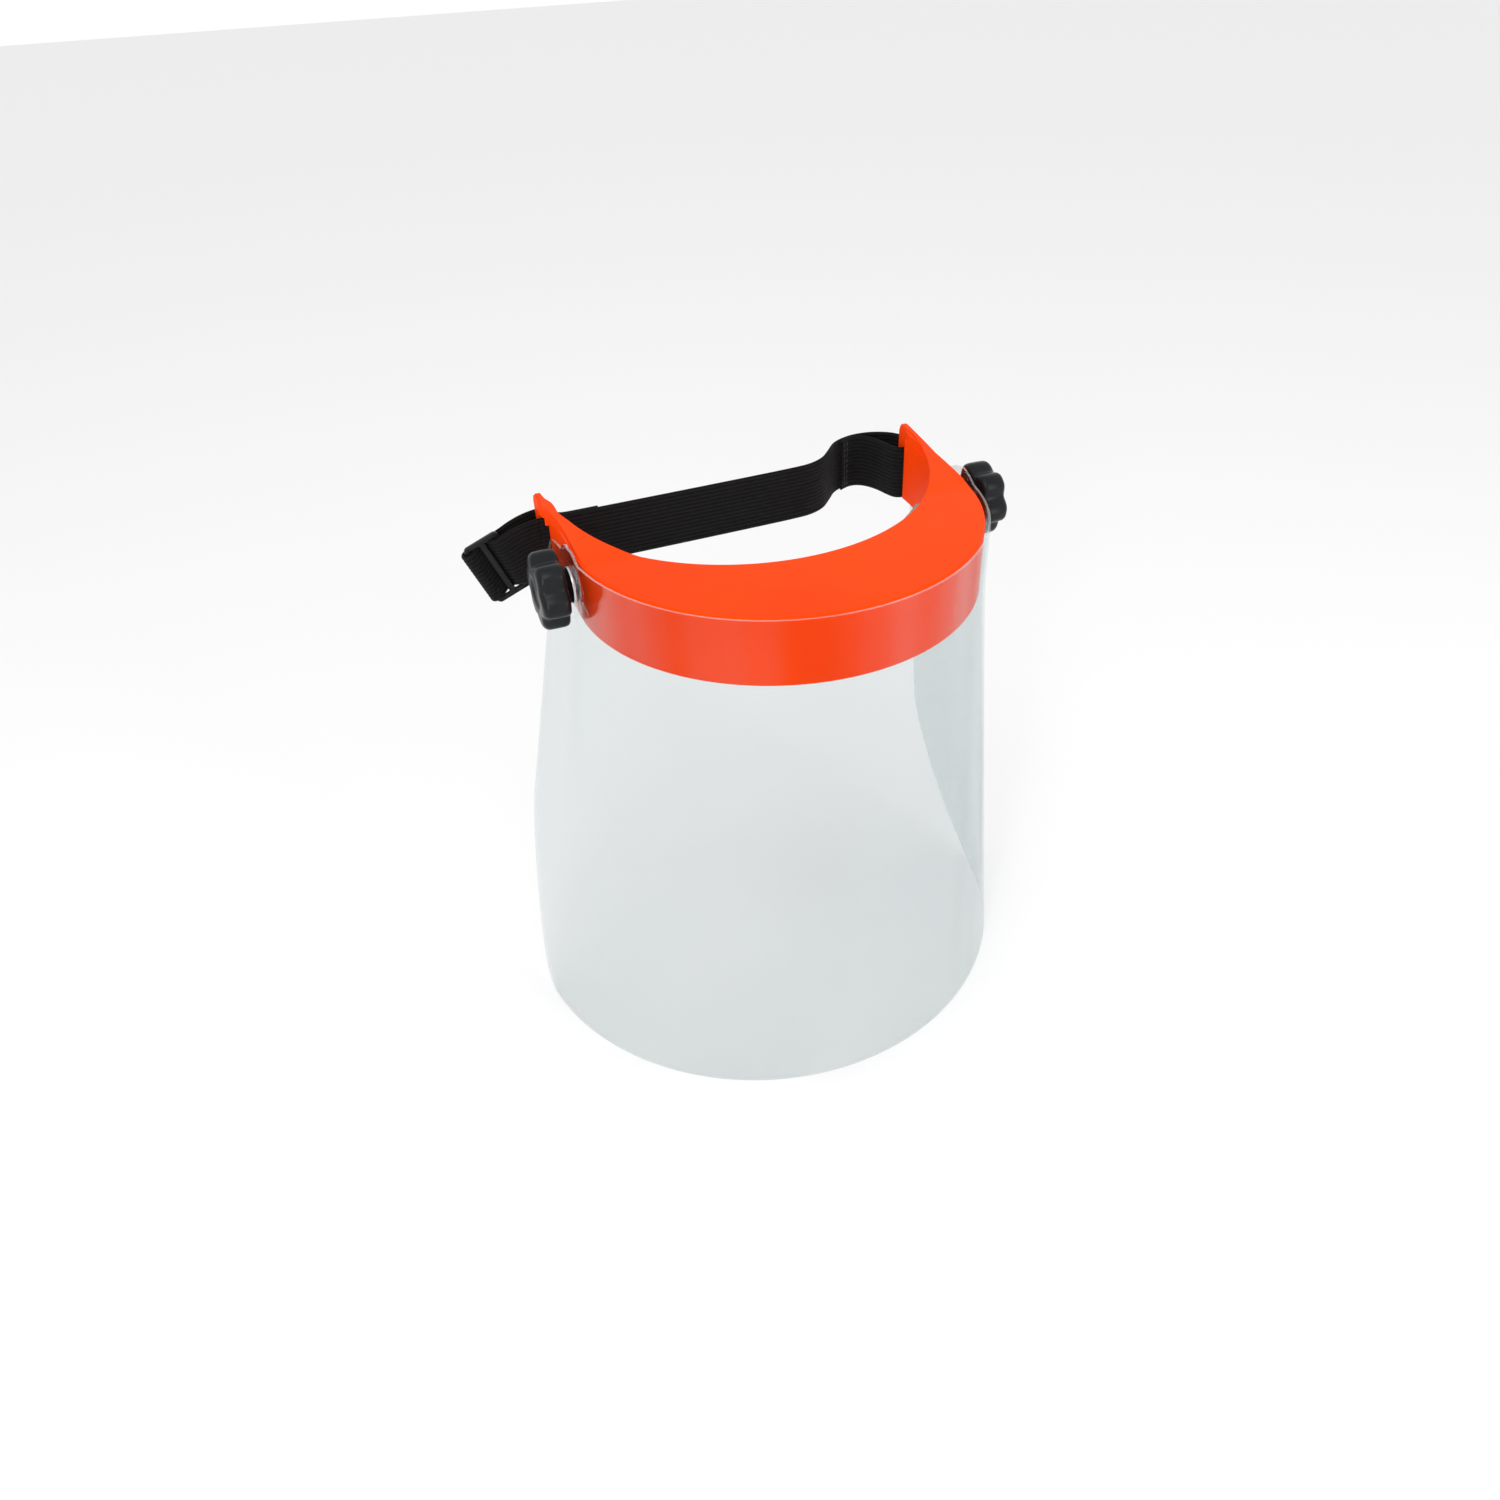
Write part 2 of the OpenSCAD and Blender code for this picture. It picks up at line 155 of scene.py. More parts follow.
def join(mat, a, out, b, into):
    mat.node_tree.links.new(a.outputs[out], b.inputs[into])


def noise(mat, scale, detail=3.0, rough=0.5, stretch=None):
    """Noise in object coordinates, which are the part's own frame, in metres."""
    node = add(mat, "ShaderNodeTexNoise")
    node.inputs["Scale"].default_value = scale
    node.inputs["Detail"].default_value = detail
    node.inputs["Roughness"].default_value = rough
    where, out = add(mat, "ShaderNodeTexCoord"), "Object"
    if stretch is not None:
        mapping = add(mat, "ShaderNodeMapping")
        mapping.inputs["Scale"].default_value = stretch
        join(mat, where, out, mapping, "Vector")
        where, out = mapping, "Vector"
    join(mat, where, out, node, "Vector")
    return node


def ramp(mat, source, out, stops):
    node = add(mat, "ShaderNodeValToRGB")
    band = node.color_ramp
    while len(band.elements) < len(stops):
        band.elements.new(0.5)
    for element, (at, colour) in zip(band.elements, stops):
        element.position = at
        element.color = (*colour, 1)
    join(mat, source, out, node, "Fac")
    return node


def spread(mat, source, out, low, high):
    node = add(mat, "ShaderNodeMapRange")
    node.inputs["To Min"].default_value = low
    node.inputs["To Max"].default_value = high
    join(mat, source, out, node, "Value")
    return node


def bump(mat, shader, source, out, distance, strength=1.0, below=None):
    node = add(mat, "ShaderNodeBump")
    node.inputs["Strength"].default_value = strength
    node.inputs["Distance"].default_value = distance
    join(mat, source, out, node, "Height")
    if below is not None:
        join(mat, below, "Normal", node, "Normal")
    join(mat, node, "Normal", shader, "Normal")
    return node


# ---- materials ------------------------------------------------------------


def orange_plastic():
    mat, shader = new_material("guard_orange", (0.95, 0.052, 0.0008), 0.42)
    tone = noise(mat, 14, 2)
    deep, light = (0.92, 0.048, 0.0006), (0.97, 0.060, 0.0012)
    colour = ramp(mat, tone, "Fac", [(0.3, deep), (0.7, light)])
    join(mat, colour, "Color", shader, "Base Color")
    grain = noise(mat, 900, 3)
    join(mat, spread(mat, noise(mat, 60, 4), "Fac", 0.42, 0.56), "Result", shader, "Roughness")
    bump(mat, shader, grain, "Fac", 0.00002, 0.06)
    shader.inputs["Specular IOR Level"].default_value = 0.05
    return mat


def black_plastic(name, colour, rough_low, rough_high, grain_scale, grain_depth):
    mat, shader = new_material(name, colour, rough_low)
    tone = noise(mat, 60, 3)
    light = tuple(1.5 * c for c in colour)
    shade = ramp(mat, tone, "Fac", [(0.35, colour), (0.75, light)])
    join(mat, shade, "Color", shader, "Base Color")
    gloss = spread(mat, noise(mat, 180, 4), "Fac", rough_low, rough_high)
    join(mat, gloss, "Result", shader, "Roughness")
    bump(mat, shader, noise(mat, grain_scale, 3), "Fac", grain_depth, 0.5)
    shader.inputs["Specular IOR Level"].default_value = 0.2
    return mat


def zinc_steel():
    mat, shader = new_material("zinc_steel", (0.62, 0.63, 0.65), 0.3)
    shader.inputs["Metallic"].default_value = 1.0
    tone = noise(mat, 250, 4)
    shade = ramp(mat, tone, "Fac", [(0.3, (0.52, 0.53, 0.56)), (0.7, (0.72, 0.73, 0.74))])
    join(mat, shade, "Color", shader, "Base Color")
    join(mat, spread(mat, noise(mat, 900, 4), "Fac", 0.22, 0.42), "Result", shader, "Roughness")
    return mat


def nylon():
    mat, shader = new_material("washer_nylon", (0.72, 0.71, 0.66), 0.45)
    tone = noise(mat, 200, 3)
    shade = ramp(mat, tone, "Fac", [(0.3, (0.68, 0.67, 0.62)), (0.7, (0.76, 0.75, 0.71))])
    join(mat, shade, "Color", shader, "Base Color")
    shader.inputs["Subsurface Weight"].default_value = 0.1
    return mat


def foam():
    mat, shader = new_material("foam", (0.23, 0.21, 0.18), 0.95)
    cells = add(mat, "ShaderNodeTexVoronoi")
    cells.inputs["Scale"].default_value = 1500
    where = add(mat, "ShaderNodeTexCoord")
    join(mat, where, "Object", cells, "Vector")
    # Painted shade: each cell is darkest at its centre, where the bump makes its pit, and lighter
    # towards its rim
    colour = ramp(mat, cells, "Distance", [(0.0, (0.10, 0.092, 0.08)), (0.5, (0.30, 0.275, 0.24))])
    join(mat, colour, "Color", shader, "Base Color")
    shader.inputs["Specular IOR Level"].default_value = 0.15
    bump(mat, shader, cells, "Distance", 0.0003, 0.8)
    return mat


def elastic():
    """Black ribbed webbing. Its UV map runs across in U and along in V, both in widths."""
    mat, shader = new_material("elastic_webbing", (0.010, 0.010, 0.011), 0.75)
    where = add(mat, "ShaderNodeTexCoord")
    stretch = add(mat, "ShaderNodeMapping")
    stretch.inputs["Scale"].default_value = (1, 34, 1)
    join(mat, where, "UV", stretch, "Vector")
    picks = add(mat, "ShaderNodeTexWave")
    picks.bands_direction = "Y"
    picks.inputs["Scale"].default_value = 0.5
    picks.inputs["Distortion"].default_value = 0.6
    picks.inputs["Detail"].default_value = 1
    picks.inputs["Detail Scale"].default_value = 8
    join(mat, stretch, "Vector", picks, "Vector")
    ribs = add(mat, "ShaderNodeAttribute", attribute_name="rib")
    # Painted shade: the colour follows the rib height, darkest in the grooves and on the rib sides,
    # lightest on the crests
    groove, rib_side_shade, crest = (0.001, 0.001, 0.001), (0.004, 0.004, 0.0045), (0.010, 0.010, 0.011)
    shade = ramp(mat, ribs, "Fac", [(0.0, groove), (0.75, rib_side_shade), (1.0, crest)])
    fleck = noise(mat, 1400, 2)
    mixed = add(mat, "ShaderNodeMix", data_type="RGBA", blend_type="MULTIPLY")
    mixed.inputs["Factor"].default_value = 0.5
    tint = ramp(mat, fleck, "Fac", [(0.35, (0.45, 0.45, 0.45)), (0.65, (1, 1, 1))])
    mat.node_tree.links.new(shade.outputs["Color"], mixed.inputs["A"])
    mat.node_tree.links.new(tint.outputs["Color"], mixed.inputs["B"])
    mat.node_tree.links.new(mixed.outputs["Result"], shader.inputs["Base Color"])
    first = bump(mat, shader, picks, "Fac", 0.00012, 0.6)
    bump(mat, shader, fleck, "Fac", 0.00008, 0.5, first)
    shader.inputs["Sheen Weight"].default_value = 0.03
    shader.inputs["Sheen Roughness"].default_value = 0.5
    shader.inputs["Specular IOR Level"].default_value = 0.12
    return mat


def sewing_thread():
    mat, shader = new_material("thread", (0.016, 0.016, 0.018), 0.6)
    twist = noise(mat, 2500, 2)
    shade = ramp(mat, twist, "Fac", [(0.3, (0.010, 0.010, 0.011)), (0.7, (0.035, 0.035, 0.038))])
    join(mat, shade, "Color", shader, "Base Color")
    bump(mat, shader, twist, "Fac", 0.00008, 0.6)
    return mat


def calc(mat, operation, source, out, other):
    """A Math node on a source's output and either a number or another node's output."""
    node = add(mat, "ShaderNodeMath", operation=operation)
    join(mat, source, out, node, 0)
    if isinstance(other, tuple):
        join(mat, other[0], other[1], node, 1)
    else:
        node.inputs[1].default_value = other
    return node


def spread_band(mat, source):
    """Turns noise into a gain that is low between bands and high in them."""
    node = spread(mat, source, "Fac", 0.3, 3.2)
    node.inputs["From Min"].default_value = 0.35
    node.inputs["From Max"].default_value = 0.68
    return node


def stress_and_highlight_marks(mat):
    """Crumple marks in the sheet round the pivots, which lie on the X axis: crease lines near a pivot
    get more reflection, partly whitish stress marks and partly painted highlights.
    """
    where = add(mat, "ShaderNodeTexCoord")
    flat = add(mat, "ShaderNodeVectorMath", operation="MULTIPLY")
    flat.inputs[1].default_value = (0, 1, 1)
    mat.node_tree.links.new(where.outputs["Object"], flat.inputs[0])
    reach = add(mat, "ShaderNodeVectorMath", operation="LENGTH")
    mat.node_tree.links.new(flat.outputs["Vector"], reach.inputs[0])
    near = add(mat, "ShaderNodeMapRange")
    near.inputs["From Min"].default_value = 0.021
    near.inputs["From Max"].default_value = 0.010
    join(mat, reach, "Value", near, "Value")
    creases = noise(mat, 260, 4, 0.65)
    creases.inputs["Distortion"].default_value = 1.6
    lines = add(mat, "ShaderNodeMapRange")
    lines.inputs["From Min"].default_value = 0.52
    lines.inputs["From Max"].default_value = 0.62
    lines.inputs["To Max"].default_value = 0.34
    join(mat, creases, "Fac", lines, "Value")
    return calc(mat, "MULTIPLY", near, "Result", (lines, "Result"))


def clear_sheet():
    """A thin clear sheet: light passes straight through with a faint cool tint, gloss grows
    at a slant, and the cut edges, marked by the attribute rim, catch the light."""
    mat, shader = new_material("clear_sheet", (0.80, 0.84, 0.85), 0.07)
    rim = add(mat, "ShaderNodeAttribute", attribute_name="rim")
    through = add(mat, "ShaderNodeBsdfTransparent")
    dim, clear = (0.882, 0.904, 0.906), (0.902, 0.918, 0.918)
    haze = ramp(mat, noise(mat, 7, 3), "Fac", [(0.3, dim), (0.7, clear)])
    join(mat, haze, "Color", through, "Color")
    slant = add(mat, "ShaderNodeLayerWeight")
    slant.inputs["Blend"].default_value = 0.22
    steep = calc(mat, "POWER", slant, "Facing", 2.0)
    gloss = spread(mat, steep, "Value", 0.006, 0.45)
    # Painted reflection bands: the gloss is made stronger in soft bands that run down the sheet,
    # standing in for reflections of tall soft lights
    band_noise = noise(mat, 1, 2, stretch=(26, 26, 1.5))
    gloss_in_painted_bands = calc(mat, "MULTIPLY", gloss, "Result", (spread_band(mat, band_noise), "Result"))
    # Painted highlights: the crumple marks raise the reflection along crease lines round the pivots
    marks_and_highlights = calc(mat, "ADD", gloss_in_painted_bands, "Value", (stress_and_highlight_marks(mat), "Value"))
    edge = add(mat, "ShaderNodeMath", operation="MULTIPLY_ADD")
    edge.inputs[1].default_value = 0.16
    join(mat, rim, "Fac", edge, 0)
    join(mat, marks_and_highlights, "Value", edge, 2)
    join(mat, spread(mat, rim, "Fac", 1.0, 0.0), "Result", shader, "Metallic")
    join(mat, spread(mat, noise(mat, 120, 5), "Fac", 0.05, 0.13), "Result", shader, "Roughness")
    bump(mat, shader, noise(mat, 9, 2), "Fac", 0.0012, 0.25)
    blend = add(mat, "ShaderNodeMixShader")
    join(mat, edge, "Value", blend, "Fac")
    mat.node_tree.links.new(through.outputs["BSDF"], blend.inputs[1])
    mat.node_tree.links.new(shader.outputs["BSDF"], blend.inputs[2])
    join(mat, blend, "Shader", mat.node_tree.nodes["Material Output"], "Surface")
    return mat


# ---- mesh helpers ---------------------------------------------------------


def piece_from(name, verts_mm, faces, mat):
    mesh = bpy.data.meshes.new(name)
    mesh.from_pydata((np.asarray(verts_mm, float) * MM).tolist(), [], faces)
    mesh.materials.append(mat)
    mesh.polygons.foreach_set("use_smooth", [True] * len(mesh.polygons))
    mesh.update()
    obj = bpy.data.objects.new(name, mesh)
    scene.collection.objects.link(obj)
    return obj


def spline(p, n):
    """Catmull-Rom curve through the points of p, n steps to a span."""
    p = np.asarray(p, float)
    out = []
    for i in range(len(p) - 1):
        a, b, c, d = p[max(i - 1, 0)], p[i], p[i + 1], p[min(i + 2, len(p) - 1)]
        for k in range(n):
            t = k / n
            out.append(
                0.5 * (2 * b + (c - a) * t + (2 * a - 5 * b + 4 * c - d) * t * t
                       + (3 * b - a - 3 * c + d) * t ** 3)
            )
    out.append(p[-1])
    return np.array(out)


def even(path, step):
    """The same path with points a step apart."""
    gaps = np.linalg.norm(np.diff(path, axis=0), axis=1)
    along = np.concatenate([[0], np.cumsum(gaps)])
    count = max(2, int(round(along[-1] / step)) + 1)
    at = np.linspace(0, along[-1], count)
    return np.stack([np.interp(at, along, path[:, k]) for k in range(2)], 1), at


def bevelled(node, width_mm, angle=35, segments=2):
    """A softened edge on a CAD node, by modifiers that leave its own mesh alone."""
    weld = node.modifiers.new("weld", "WELD")
    weld.merge_threshold = 0.005 * MM
    edge = node.modifiers.new("edge", "BEVEL")
    edge.width = width_mm * MM
    edge.segments = segments
    edge.limit_method = "ANGLE"
    edge.angle_limit = math.radians(angle)
    even_light = node.modifiers.new("even_light", "WEIGHTED_NORMAL")
    even_light.keep_sharp = True
    node.data.polygons.foreach_set("use_smooth", [True] * len(node.data.polygons))


def dress(name, mat):
    """Gives a CAD node its material."""
    node = nodes[name]
    node.data.materials.clear()
    node.data.materials.append(mat)


# ---- strap ----------------------------------------------------------------

# Driving sizes of the strap, in millimetres, as the CAD part has them
STRAP_W = 25.0
STRAP_T = 1.3
STRAP_Z = -4.2
HANG_X = 89.0
BEND_R = 26.0
DROOP = math.radians(22)
RIBS = 14
SLOT_Y = 47.6


def hang(d, y, h):
    """Strap place: d outward from the -X arm along the strap, y back, h across the webbing."""
    bend = BEND_R * DROOP
    a = max(0.0, min(d, bend)) / BEND_R
    straight = max(0.0, d - bend)
    before = min(d, 0.0)
    x = -HANG_X - before - BEND_R * math.sin(a) - straight * math.cos(a) - h * math.sin(a)
    z = STRAP_Z - BEND_R * (1 - math.cos(a)) - straight * math.sin(a) + h * math.cos(a)
    return (x, y, z)


def d_of(x):
    return -HANG_X - x


MAIN_ROUTE = [
    (0, SLOT_Y), (d_of(-74), 47.5), (d_of(-40), 47.6), (d_of(0), 48),
    (d_of(28), 48.6), (d_of(38), 49.8), (d_of(45.5), 53.6), (d_of(51.5), 60),
    (d_of(57), 66.4), (d_of(63), 70),
]
HOOK_ROUTE = [
    (d_of(63.01), 70), (d_of(70), 71.8), (d_of(78), 71), (d_of(85), 67.6),
    (d_of(89.4), 62.6), (d_of(91), 57), (d_of(90.6), 51.6), (d_of(88), 48.5),
    (d_of(84.4), 47.7), (d_of(81.2), 49.4), (d_of(79.4), 54), (d_of(77.6), 60.4),
    (d_of(74.8), 66), (d_of(71), 69.4), (d_of(66.5), 69.8), (d_of(61.5), 67.6),
]
ADJUSTER_ROUTE = [
    (0.01, SLOT_Y), (5, 46.9), (10, 46.5), (14.4, 46.4), (16.4, 46.75), (18.2, 48.6),
    (20.2, 50.5), (22, 50.85), (23.8, 50.5), (25.8, 48.6), (27.6, 46.75), (29.2, 46.3),
    (30.8, 46.8), (31.7, 48.6), (31.3, 50.8), (29.4, 52.3), (26, 52.9), (20, 53.1),
    (12, 53.7), (5, 55.6), (0, 57.2), (-3.2, 57.5), (-5.8, 56.6), (-6.5, 54.2),
    (-7.2, 51.4), (-9.2, 49.6), (-12, 49.02), (-18, 48.95), (-26, 49.02),
]


def webbing_section():
    """Across the webbing: (place across, half thickness, rib height) from edge to edge."""
    per_rib = 6
    count = RIBS * per_rib
    groove = 0.2
    out = []
    for i in range(count + 1):
        u = i / count
        rib = abs(math.sin(math.pi * RIBS * u)) ** 0.7
        side = min(u, 1 - u) * 2 * RIBS
        half = STRAP_T / 2 - groove * (1 - rib)
        if side < 1:
            half = min(half, STRAP_T * (0.22 + 0.28 * math.sqrt(side)))
        out.append(((u - 0.5) * STRAP_W, half, rib))
    return out


def webbing(name, route, mat):
    """Ribbed webbing along a route, as one closed mesh with its own UV map and rib heights."""
    path, along = even(spline(route, 10), 0.9)
    section = webbing_section()
    loop = [(h, t, r, 1) for h, t, r in section] + [(h, t, r, -1) for h, t, r in reversed(section)]
    n = len(loop)
    verts, rib, uv = [], [], []
    for i, p in enumerate(path):
        t = path[min(i + 1, len(path) - 1)] - path[max(i - 1, 0)]
        t = t / np.linalg.norm(t)
        normal = np.array([-t[1], t[0]])
        for h, half, r, face in loop:
            q = p + normal * half * face
            verts.append(hang(q[0], q[1], h))
            rib.append(r)
            uv.append((h / STRAP_W, along[i] / STRAP_W))
    faces = []
    for i in range(len(path) - 1):
        for j in range(n):
            k = (j + 1) % n
            faces.append((i * n + j, (i + 1) * n + j, (i + 1) * n + k, i * n + k))
    half_n = n // 2
    for base, flip in ((0, True), ((len(path) - 1) * n, False)):
        for j in range(half_n - 1):
            quad = (base + j, base + j + 1, base + n - 2 - j, base + n - 1 - j)
            faces.append(quad if flip else quad[::-1])
    obj = piece_from(name, verts, faces, mat)
    mesh = obj.data
    mesh.attributes.new("rib", "FLOAT", "POINT").data.foreach_set("value", rib)
    layer = mesh.uv_layers.new(name="webbing")
    index = np.zeros(len(mesh.loops), int)
    mesh.loops.foreach_get("vertex_index", index)
    layer.data.foreach_set("uv", np.array(uv)[index].ravel())
    tidy_normals(obj)
    return obj


def tidy_normals(obj):
    bm = bmesh.new()
    bm.from_mesh(obj.data)
    bmesh.ops.recalc_face_normals(bm, faces=bm.faces)
    bm.to_mesh(obj.data)
    bm.free()


def stitches(name, rows, bow, mat):
    """Rows of sewing thread, each given as its place along the strap and the webbing face it
    lies on: each stitch is a short bowed capsule that dips into the webbing."""
    across, turns, steps = 8, 8, 8
    radius, side_gap, length_share = 0.28, 3, 0.82
    pitch = (STRAP_W - side_gap) / across
    verts, faces = [], []
    for d, face_y in rows:
        for i in range(across):
            start = len(verts)
            mid = (i + 0.5 - across / 2) * pitch
            for k in range(steps + 1):
                f = k / steps
                h = mid + (f - 0.5) * pitch * length_share
                lift = math.sin(math.pi * f) * 0.32 - 0.22
                for j in range(turns):
                    a = 2 * math.pi * j / turns
                    r = radius * (0.55 + 0.45 * math.sin(math.pi * f))
                    verts.append(hang(d + r * math.cos(a), face_y + bow * (lift + r * math.sin(a)), h))
            for k in range(steps):
                for j in range(turns):
                    a0, a1 = start + k * turns + j, start + k * turns + (j + 1) % turns
                    faces.append((a0, a1, a1 + turns, a0 + turns))
            faces.append(tuple(start + j for j in reversed(range(turns))))
            faces.append(tuple(start + steps * turns + j for j in range(turns)))
    obj = piece_from(name, verts, faces, mat)
    tidy_normals(obj)
    return obj


def make_strap():
    web = elastic()
    thread = sewing_thread()
    # The main run and the loop round the right hook are one length of webbing
    run = webbing("strap_run", MAIN_ROUTE + HOOK_ROUTE[1:], web)
    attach(run, "guard")
    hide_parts("strap_main", "strap_hook_loop")
    loop = webbing("strap_loop", ADJUSTER_ROUTE, web)
    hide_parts("strap_adjuster_loop")
    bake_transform(loop)
    tail_y = ADJUSTER_ROUTE[-1][1]
    rows = [(d, tail_y + STRAP_T / 2) for d in (-15, -17, -23, -25)]
    left = stitches("stitching_left", rows, 1, thread)
    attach(left, "guard")
    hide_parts("left_stitching")
    end_ply = spline(HOOK_ROUTE, 10)[-21:]
    slant = math.cos(math.radians(25))
    rows = [
        (d, float(np.interp(d, end_ply[:, 0], end_ply[:, 1])) - STRAP_T / 2 / slant)
        for d in (d_of(63.5), d_of(65.2))
    ]
    right = stitches("stitching_right", rows, -1, thread)
    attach(right, "guard")
    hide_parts("right_stitching")


# ---- star knobs -----------------------------------------------------------


def knob_outline(angle, lobes, radius, depth):
    """Star outline: broad round lobes with narrower, smooth valleys."""
    dip = (0.5 - 0.5 * math.cos(lobes * angle)) ** 1.6
    return radius - depth * dip


def knob(name, node, side, mat):
    """Star knob in place of a CAD knob: side is -1 or 1, the way its face looks along X."""
    low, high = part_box(node)
    x_in, x_out = sorted((abs(low.x) / MM, abs(high.x) / MM))
    radius = (high.y - low.y) / 2 / MM
    lobes, around, turned = 6, 180, math.radians(8)
    hub_r, hub_end = 7.0, x_in + 2.6
    depth = radius * 0.19
    # Rings from the hub outward: (place along the axis, share of the star's size or None for
    # a plain circle, radius of that circle). The last ones form the shallow dish of the face.
    rings = [(x_in, None, hub_r), (hub_end - 0.5, None, hub_r), (hub_end, None, hub_r + 0.5)]
    rings += [(hub_end + 0.0, 0.84, 0), (hub_end + 0.3, 0.92, 0), (hub_end + 0.9, 0.972, 0)]
    rings += [(hub_end + 1.6, 0.992, 0), (hub_end + 2.6, 1.0, 0), ((hub_end + x_out) / 2, 1.0, 0)]
    rings += [(x_out - 2.6, 0.992, 0), (x_out - 1.7, 0.97, 0), (x_out - 1.0, 0.935, 0)]
    rings += [(x_out - 0.5, 0.89, 0), (x_out - 0.2, 0.84, 0), (x_out - 0.05, 0.78, 0), (x_out, 0.66, 0)]
    rings += [(x_out - 0.1, 0.52, 0), (x_out - 0.35, 0.44, 0), (x_out - 0.9, 0.40, 0)]
    rings += [(x_out - 1.1, 0.34, 0), (x_out - 1.1, 0.12, 0)]
    verts, faces = [], []
    for x, share, fixed in rings:
        for i in range(around):
            a = 2 * math.pi * i / around
            if share is None:
                r = fixed
            else:
                soft = min(1.0, max(0.0, (share - 0.35) / 0.5))
                r = share * knob_outline(a, lobes, radius, depth * soft)
            turn = a + turned
            verts.append((side * x, r * math.cos(turn), r * math.sin(turn)))
    for k in range(len(rings) - 1):
        for i in range(around):
            j = (i + 1) % around
            faces.append((k * around + i, k * around + j, (k + 1) * around + j, (k + 1) * around + i))
    faces.append(tuple(reversed(range(around))))
    last = (len(rings) - 1) * around
    faces.append(tuple(last + i for i in range(around)))
    obj = piece_from(name, verts, faces, mat)
    tidy_normals(obj)
    return obj


# ---- visor ----------------------------------------------------------------

# Driving sizes of the sheet, in millimetres, as the CAD part has them
ARC_Y = 1.0
SHEET_IN = 87.0
SHEET_T = 1.0
GUARD_TOP = 12.6
FLARE, FLARE_START, FLARE_SOFT = 0.17, 7.0, 14.0
DROP, CORNER_H, CORNER_W, CORNER_POWER = 240.5, 91.0, 59.0, 1.38
EAR_R, SIDE_Y, SIDE_SLOPE, REAR_ROUND, REAR_FALL = 16.0, 42.5, 0.168, 12.0, 0.22
PIVOT_HOLE = 2.57


def sheet_r(z):
    d = max(0.0, -z - FLARE_START)
    return SHEET_IN + FLARE * (math.hypot(d, FLARE_SOFT) - FLARE_SOFT)


def sheet_c(z):
    return ARC_Y - SHEET_IN + sheet_r(z)


def half_length(z):
    return sheet_r(z) * math.pi / 2 + SIDE_Y + SIDE_SLOPE * max(0.0, -z) - sheet_c(z)


def sheet_point(s, z, off):
    r = sheet_r(z)
    arc = r * math.pi / 2
    a = min(abs(s), arc) / r
    back = max(0.0, abs(s) - arc)
    x = math.copysign((r + off) * math.sin(a), s)
    return (x, sheet_c(z) - (r + off) * math.cos(a) + back, z)


def top_z(u):
    y = abs(u) * half_length(0) - SHEET_IN * math.pi / 2 + ARC_Y
    ear = math.sqrt(max(0.0, EAR_R * EAR_R - y * y))
    shoulder = EAR_R * 0.8
    if y < 0:
        return max(GUARD_TOP, ear)
    if y < shoulder:
        return ear
    q = max(0.0, y - SIDE_Y + REAR_ROUND)
    level = math.sqrt(EAR_R * EAR_R - shoulder * shoulder) - REAR_FALL * (y - shoulder)
    return level - REAR_ROUND + math.sqrt(max(0.0, REAR_ROUND * REAR_ROUND - q * q))


def bottom_z(u):
    full = half_length(CORNER_H - DROP)
    q = max(0.0, (abs(u) * full - full + CORNER_W) / CORNER_W)
    return -DROP + CORNER_H * (1 - max(0.0, 1 - q ** CORNER_POWER) ** (1 / CORNER_POWER))


def wrinkle(y, z):
    """How far the sheet puckers outward round a pivot, where the knob pinches it."""
    r = math.hypot(y, z)
    near = min(1.0, max(0.0, (r - 8.5) / 3)) * max(0.0, 1 - max(0.0, r - 11) / 9)
    turn = math.atan2(z, y)
    return near * (0.35 + 0.35 * math.sin(8 * turn + 0.5 * r) + 0.2 * math.sin(13 * turn - 0.8 * r))


def pucker(point):
    x, y, z = point
    if abs(x) <= SHEET_IN * 0.97:
        return point
    return (x + math.copysign(max(0.0, wrinkle(y, z)), x), y, z)


def make_visor():
    columns, rows = 140, 70
    inner, outer = [], []
    for i in range(-columns, columns + 1):
        w = i / columns
        u = math.copysign(1 - (1 - abs(w)) ** 1.25, w)
        high, low = top_z(u), bottom_z(u)
        for j in range(rows + 1):
            z = high + (low - high) * (j / rows) ** 1.2
            s = u * half_length(z)
            inner.append(pucker(sheet_point(s, z, 0.02)))
            outer.append(pucker(sheet_point(s, z, SHEET_T - 0.02)))
    n = rows + 1
    count = len(inner)
    faces = []
    for i in range(2 * columns):
        for j in range(rows):
            a = i * n + j
            faces.append((a, a + n, a + n + 1, a + 1))
            faces.append((count + a, count + a + 1, count + a + n + 1, count + a + n))
    rim = [i * n for i in range(2 * columns)]
    rim += [2 * columns * n + j for j in range(rows)]
    rim += [(2 * columns - i) * n + rows for i in range(2 * columns)]
    rim += [rows - j for j in range(rows)]
    for k, a in enumerate(rim):
        b = rim[(k + 1) % len(rim)]
        faces.append((b, a, count + a, count + b))
    sheet = piece_from("visor_sheet", inner + outer, faces, clear_sheet())
    tidy_normals(sheet)
    drill(sheet)
    mark_rim(sheet)
    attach(sheet, "visor")
    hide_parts("visor")


def mark_rim(sheet):
    """Marks the faces of the cut edges, which stand across the sheet's own direction."""
    values = []
    for face in sheet.data.polygons:
        x, y, z = (c / MM for c in face.center)
        out = Vector((x, min(0.0, y - sheet_c(z)), 0)).normalized()
        values.append(1.0 if abs(out.dot(face.normal)) < 0.5 else 0.0)
    sheet.data.attributes.new("rim", "FLOAT", "FACE").data.foreach_set("value", values)


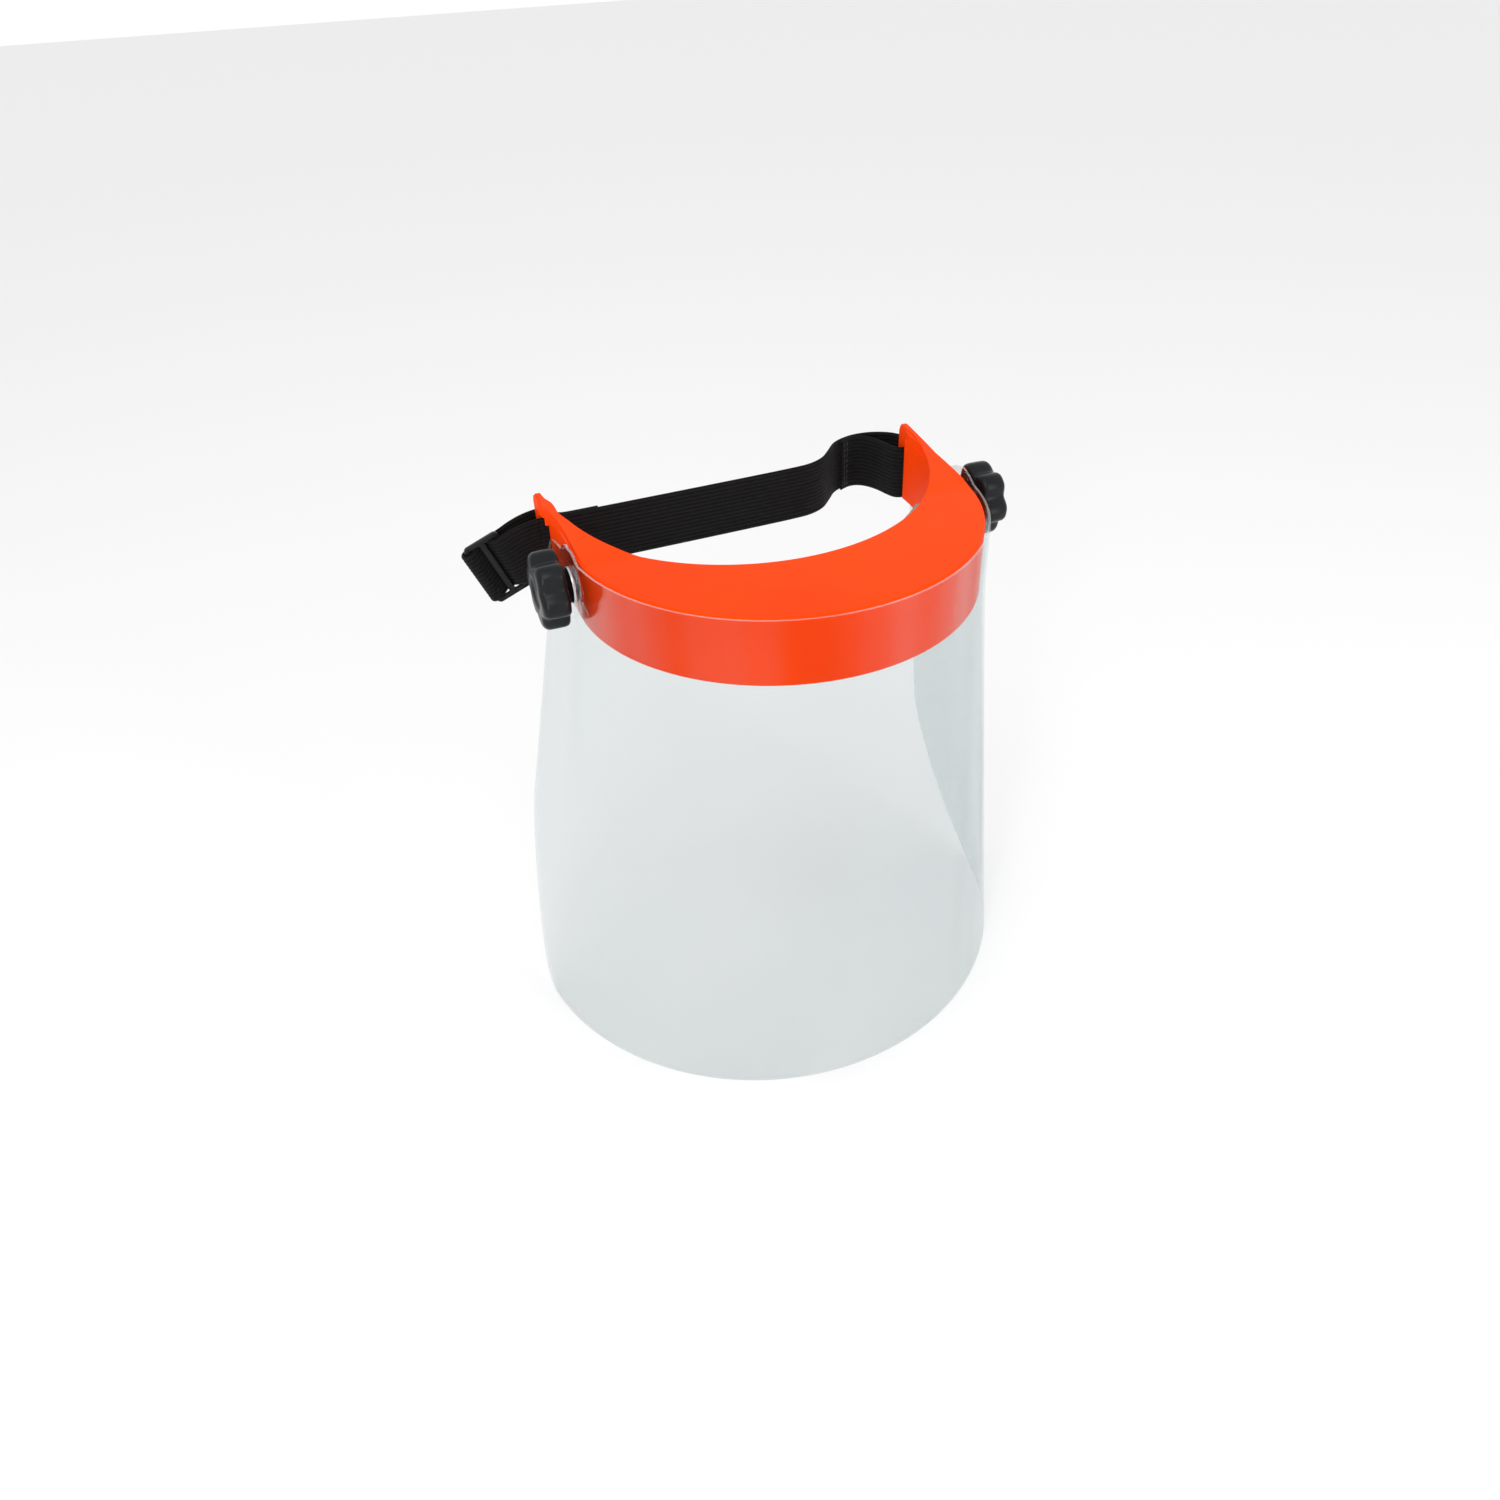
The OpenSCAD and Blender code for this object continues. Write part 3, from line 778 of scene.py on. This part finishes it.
def drill(sheet):
    """Cuts the pivot holes and keeps the sheet's cut edges crisp."""
    bm = bmesh.new()
    bmesh.ops.create_cone(
        bm, cap_ends=True, segments=48, radius1=PIVOT_HOLE * MM, radius2=PIVOT_HOLE * MM,
        depth=0.3, matrix=Matrix.Rotation(math.pi / 2, 4, "Y"),
    )
    mesh = bpy.data.meshes.new("drill")
    bm.to_mesh(mesh)
    bm.free()
    tool = bpy.data.objects.new("drill", mesh)
    scene.collection.objects.link(tool)
    cut = sheet.modifiers.new("pivot_holes", "BOOLEAN")
    cut.object = tool
    cut.operation = "DIFFERENCE"
    cut.solver = "EXACT"
    apply_modifiers(sheet)
    bpy.data.objects.remove(tool)
    sheet.data.set_sharp_from_angle(angle=math.radians(50))


def apply_modifiers(obj):
    dg = bpy.context.evaluated_depsgraph_get()
    mesh = bpy.data.meshes.new_from_object(obj.evaluated_get(dg))
    obj.modifiers.clear()
    obj.data = mesh


# ---- brow pad -------------------------------------------------------------


def make_pad():
    """Foam strip: crowned, softly rounded and pinched in a little at its ends."""
    low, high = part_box("brow_pad")
    head_r, head_y, pad_t = 83.5, 43.0, 4.4
    half_angle = math.radians(49.6)
    z_mid, half_h = (low.z + high.z) / 2 / MM, (high.z - low.z) / 2 / MM - 0.2
    steps, around, squareness = 150, 40, 0.42
    verts, faces = [], []
    for i in range(steps + 1):
        f = i / steps
        a = half_angle * (2 * f - 1)
        end = min(f, 1 - f) * 2 * half_angle * head_r
        soft = min(1.0, end / 2.5)
        round_end = math.sqrt(max(0.0, 1 - (1 - soft) ** 2)) * 0.35 + 0.65
        wobble = 0.12 * math.sin(a * 37) + 0.08 * math.sin(a * 91 + 1)
        for j in range(around):
            b = 2 * math.pi * j / around
            c, s = math.cos(b), math.sin(b)
            out = math.copysign(abs(c) ** squareness, c)
            up = math.copysign(abs(s) ** squareness, s)
            depth = pad_t / 2 * (1 + out) * round_end
            if out > 0:
                depth += wobble * out * abs(c)
            r = head_r - 0.05 - min(depth, pad_t)
            z = z_mid + up * half_h * (0.93 + 0.07 * round_end)
            verts.append((r * math.sin(a), head_y - r * math.cos(a), z))
    for i in range(steps):
        for j in range(around):
            k = (j + 1) % around
            faces.append((i * around + j, i * around + k, (i + 1) * around + k, (i + 1) * around + j))
    faces.append(tuple(range(around)))
    faces.append(tuple(steps * around + j for j in reversed(range(around))))
    pad = piece_from("foam_pad", verts, faces, foam())
    tidy_normals(pad)
    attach(pad, "guard")
    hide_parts("brow_pad")


# ---- build ----------------------------------------------------------------


def make_hard_parts():
    dress("brow_guard", orange_plastic())
    bevelled(nodes["brow_guard"], 0.4)
    buckle = black_plastic("buckle_plastic", (0.005, 0.005, 0.0055), 0.28, 0.42, 700, 0.00004)
    dress("tri_glide", buckle)
    bevelled(nodes["tri_glide"], 0.5, segments=3)
    grip = black_plastic("knob_black", (0.0045, 0.005, 0.006), 0.24, 0.38, 500, 0.00005)
    steel, plastic = zinc_steel(), nylon()
    for side, sign in (("left", -1), ("right", 1)):
        star = knob(f"star_knob_{side}", f"{side}_knob", sign, grip)
        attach(star, f"{side}_knob")
        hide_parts(f"{side}_knob")
        for node in ("knob_stud", "clamp_washer", "nut"):
            dress(f"{side}_{node}", steel)
            bevelled(nodes[f"{side}_{node}"], 0.15)
        dress(f"{side}_friction_washer", plastic)
        bevelled(nodes[f"{side}_friction_washer"], 0.1)


make_camera()
make_floor()
make_lights()
make_hard_parts()
make_visor()
make_strap()
make_pad()
scene.view_settings.view_transform = "Standard"
